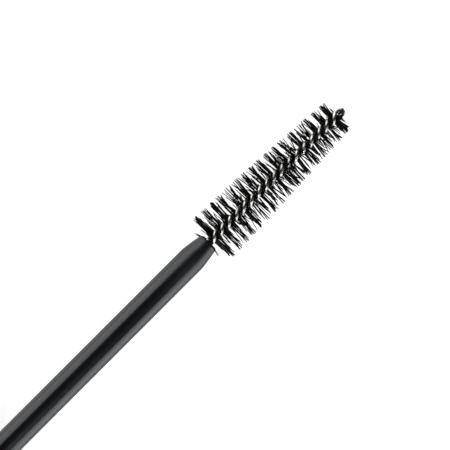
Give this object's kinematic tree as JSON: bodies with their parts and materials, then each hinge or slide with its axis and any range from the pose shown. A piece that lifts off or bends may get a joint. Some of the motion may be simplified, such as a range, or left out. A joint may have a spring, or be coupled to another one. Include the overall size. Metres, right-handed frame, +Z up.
{
  "type": "mascara tube",
  "caption": "Mascara: a screw-neck tube with a wiper, and a cap whose stem carries a tapered twisted-wire brush, drawn out and lying in line with the tube.",
  "frame": {"origin": "on the surface that the part lies on, below the middle of its length and of its width", "axes": "+X along the common axis of wand and tube, from the cap towards the tube's base; +Z up"},
  "size_m": [0.2328, 0.016, 0.016],
  "materials": {
    "sleeve_plastic": "glossy black",
    "plug_plastic": "fine moulded texture",
    "label_film": "plain silver-grey film",
    "vial_plastic": "moulded",
    "trim_metal": "anodised, turned",
    "wiper_plastic": "soft, waxy",
    "cap_plastic": "glossy black",
    "liner_plastic": "moulded",
    "seal_foam": "closed-cell foam sheet",
    "stem_plastic": "satin black",
    "wire_steel": "drawn stainless wire",
    "fibre_nylon": "fine black fibres"
  },
  "bodies": {
    "tube": {"tube_sleeve": "sleeve_plastic", "base_plug": "plug_plastic", "base_label": "label_film", "vial": "vial_plastic", "neck_collar": "trim_metal", "wiper": "wiper_plastic"},
    "seal": {"seal_washer": "seal_foam"},
    "wand": {"cap_shell": "cap_plastic", "cap_inlay": "trim_metal", "cap_band": "trim_metal", "cap_liner": "liner_plastic", "stem_socket": "liner_plastic", "stem": "stem_plastic", "brush_wire": "wire_steel", "bristles": "fibre_nylon"}
  },
  "joints": [
    {"name": "wand_draw", "type": "slide", "parent": "tube", "child": "seal", "axis": [1, 0, 0], "range_m": [0, 0.11], "deforming": ["bristles"]},
    {"name": "cap_turn", "type": "hinge", "parent": "seal", "child": "wand", "pos_m": [-0.0848, 0, 0.008], "axis": [1, 0, 0], "range_deg": [0, 540]}
  ]
}
